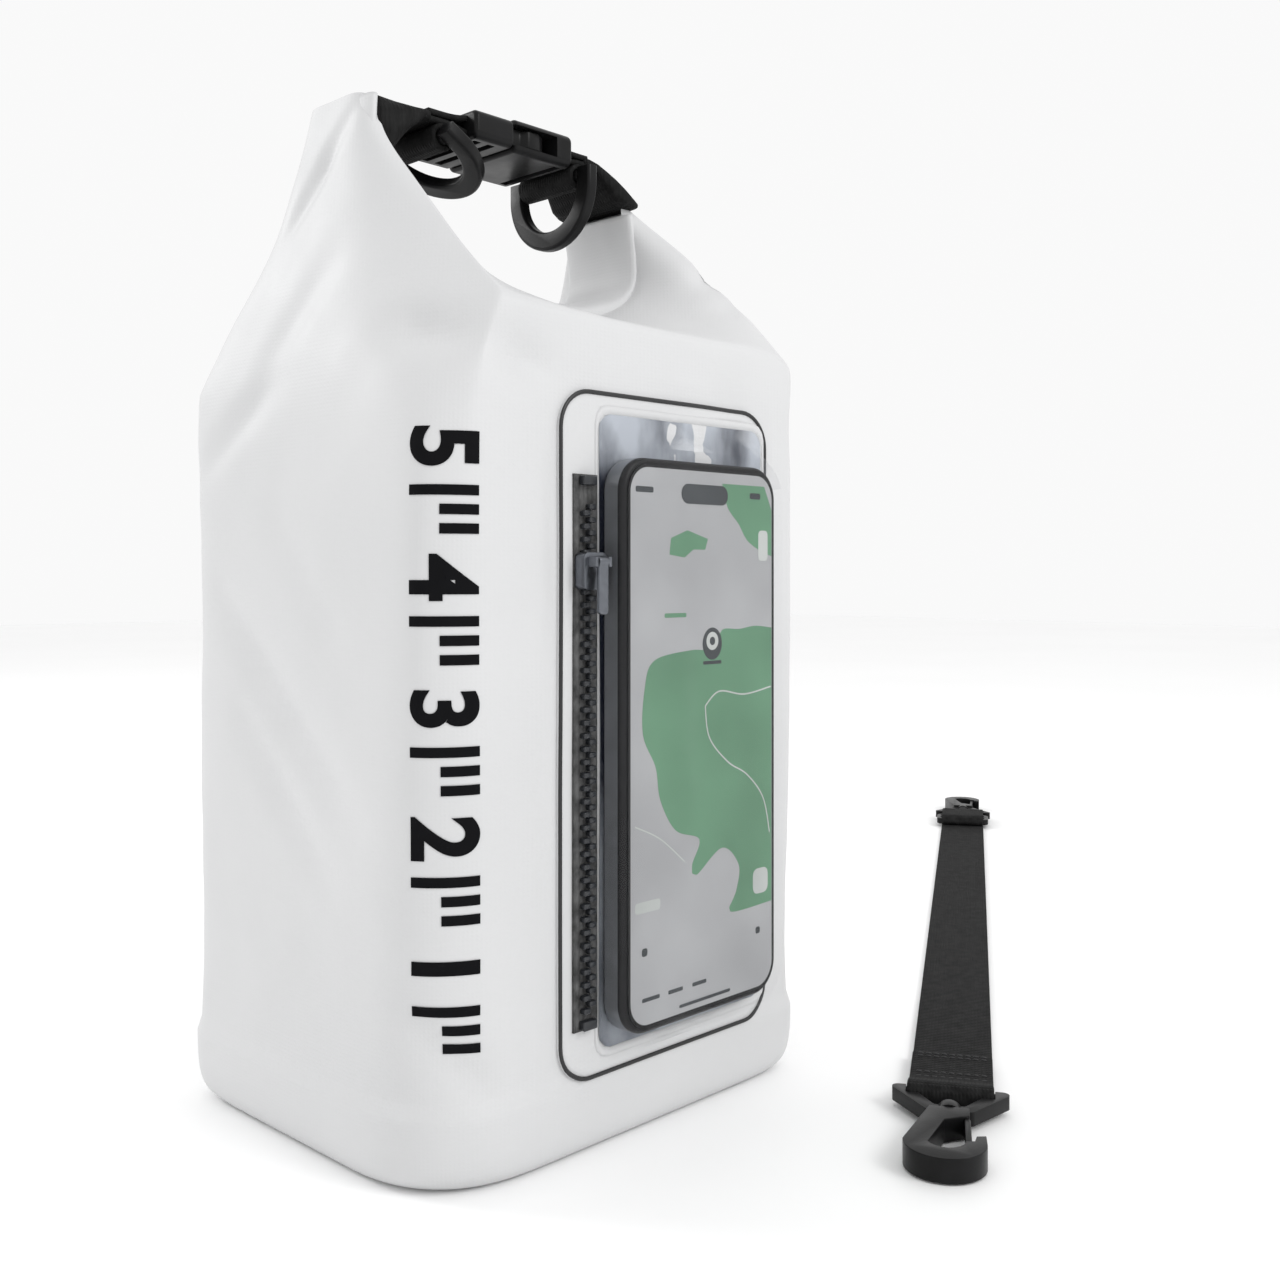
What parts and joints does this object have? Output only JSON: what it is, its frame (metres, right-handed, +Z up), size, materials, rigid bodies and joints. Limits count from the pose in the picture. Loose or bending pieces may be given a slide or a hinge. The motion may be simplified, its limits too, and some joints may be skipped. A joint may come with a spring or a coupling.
{
  "type": "dry bag",
  "caption": "Roll-top dry bag with a clear phone pocket, side-release closure, carry rings and a detached adjustable strap with swivel hooks.",
  "frame": {"origin": "centre of the bag base, on the surface it stands on", "axes": "+Z up, the window panel faces -Y, +X to the right along that panel"},
  "size_m": [0.6109, 0.3026, 0.294],
  "materials": {
    "fabric_white": "white PVC-coated tarpaulin, soft satin",
    "weld_white": "white coated fabric, welded seam",
    "stiffener": "thin polyethylene strip",
    "webbing_black": "black polyester webbing",
    "moulded_black": "black moulded acetal, light gloss",
    "piping_black": "black welded piping",
    "foil_backing": "silvery grey laminate",
    "window_clear": "clear flexible film",
    "phone_case": "dark phone case",
    "phone_screen": "screen with a plain map",
    "zip_tape_grey": "coated zip tape",
    "zip_black": "moulded zip teeth",
    "zip_metal": "dark plated zip slider"
  },
  "bodies": {
    "bag": {"bag_body": "fabric_white", "bag_base": "weld_white", "back_seam_strip": "weld_white", "roll_collar": "fabric_white", "stiffener_lower": "stiffener", "stiffener_upper": "stiffener", "end_tab_left": "webbing_black", "end_tab_right": "webbing_black", "webbing_right": "webbing_black", "ring_loop_right": "webbing_black", "buckle_female": "moulded_black", "pocket_patch": "fabric_white", "pocket_piping": "piping_black", "pocket_backing": "foil_backing", "window_film": "window_clear", "phone_body": "phone_case", "phone_display": "phone_screen", "zip_tape": "zip_tape_grey", "zip_teeth": "zip_black", "zip_stops": "zip_black"},
    "male_half": {"buckle_male": "moulded_black", "webbing_left": "webbing_black", "ring_loop_left": "webbing_black"},
    "prong_front": {"buckle_prong_front": "moulded_black"},
    "prong_back": {"buckle_prong_back": "moulded_black"},
    "ring_left": {"carry_ring_left": "moulded_black"},
    "ring_right": {"carry_ring_right": "moulded_black"},
    "zip_runner": {"zip_slider": "zip_metal"},
    "zip_tab": {"zip_pull": "zip_metal"},
    "strap": {"strap_webbing": "webbing_black"},
    "strap_far": {"strap_far_loop": "webbing_black", "strap_return": "webbing_black"},
    "adjuster": {"strap_adjuster": "moulded_black"},
    "ring_near": {"strap_ring_near": "moulded_black"},
    "ring_far": {"strap_ring_far": "moulded_black"},
    "hook_near": {"strap_hook_near": "moulded_black"},
    "hook_far": {"strap_hook_far": "moulded_black"},
    "gate_near": {"strap_gate_near": "moulded_black"},
    "gate_far": {"strap_gate_far": "moulded_black"}
  },
  "joints": [
    {"name": "buckle_release", "type": "slide", "parent": "bag", "child": "male_half", "axis": [-1, 0, 0], "range_m": [0, 0.014], "deforming": ["end_tab_left"]},
    {"name": "prong_front_squeeze", "type": "hinge", "parent": "male_half", "child": "prong_front", "pos_m": [-0.00715, -0.012, 0.289], "axis": [0, 0, 1], "range_deg": [0, 9], "stiffness_Nm_per_rad": 0.02},
    {"name": "prong_back_squeeze", "type": "hinge", "parent": "male_half", "child": "prong_back", "pos_m": [-0.00715, 0.012, 0.289], "axis": [0, 0, 1], "range_deg": [-9, 0]},
    {"name": "ring_left_swing", "type": "hinge", "parent": "male_half", "child": "ring_left", "pos_m": [-0.033, 0, 0.2834], "axis": [0, 1, 0], "range_deg": [-14, 40]},
    {"name": "ring_right_swing", "type": "hinge", "parent": "bag", "child": "ring_right", "pos_m": [0.021, 0, 0.2834], "axis": [0, 1, 0], "range_deg": [-20, 60]},
    {"name": "zip_slide", "type": "slide", "parent": "bag", "child": "zip_runner", "axis": [0, 0, 1], "range_m": [-0.114, 0.017]},
    {"name": "zip_tab_swing", "type": "hinge", "parent": "zip_runner", "child": "zip_tab", "pos_m": [-0.0236, -0.0679, 0.1605], "axis": [1, 0, 0], "range_deg": [-150, 0]},
    {"name": "strap_lift", "type": "slide", "parent": "bag", "child": "strap", "axis": [0, 0, 1], "range_m": [0, 0.25]},
    {"name": "strap_length", "type": "slide", "parent": "strap", "child": "strap_far", "axis": [0.866, 0.5, 0], "range_m": [-0.11, 0], "deforming": ["strap_webbing"]},
    {"name": "adjuster_slide", "type": "slide", "parent": "strap_far", "child": "adjuster", "axis": [0.866, 0.5, 0], "range_m": [-0.11, 0], "deforming": ["strap_return"]},
    {"name": "ring_near_swing", "type": "hinge", "parent": "strap", "child": "ring_near", "pos_m": [0.07417, -0.1145, 0.0038], "axis": [0.5, -0.866, 0], "range_deg": [-75, 75]},
    {"name": "ring_far_swing", "type": "hinge", "parent": "strap_far", "child": "ring_far", "pos_m": [0.49073, 0.126, 0.0038], "axis": [-0.5, 0.866, 0], "range_deg": [-75, 75]},
    {"name": "hook_near_swivel", "type": "hinge", "parent": "ring_near", "child": "hook_near", "pos_m": [0.07417, -0.1145, 0.0038], "axis": [-0.866, -0.5, 0], "continuous": true},
    {"name": "hook_far_swivel", "type": "hinge", "parent": "ring_far", "child": "hook_far", "pos_m": [0.49073, 0.126, 0.0038], "axis": [0.866, 0.5, 0], "continuous": true},
    {"name": "gate_near_press", "type": "hinge", "parent": "hook_near", "child": "gate_near", "pos_m": [0.05721, -0.13012, 0.0038], "axis": [0, 0, -1], "range_deg": [0, 18], "stiffness_Nm_per_rad": 0.02},
    {"name": "gate_far_press", "type": "hinge", "parent": "hook_far", "child": "gate_far", "pos_m": [0.51274, 0.13288, 0.0038], "axis": [0, 0, 1], "range_deg": [0, 18], "stiffness_Nm_per_rad": 0.02}
  ],
  "couplings": [
    {"joint": "prong_back_squeeze", "follows": "prong_front_squeeze", "ratio": -1},
    {"joint": "adjuster_slide", "follows": "strap_length", "ratio": 1}
  ]
}
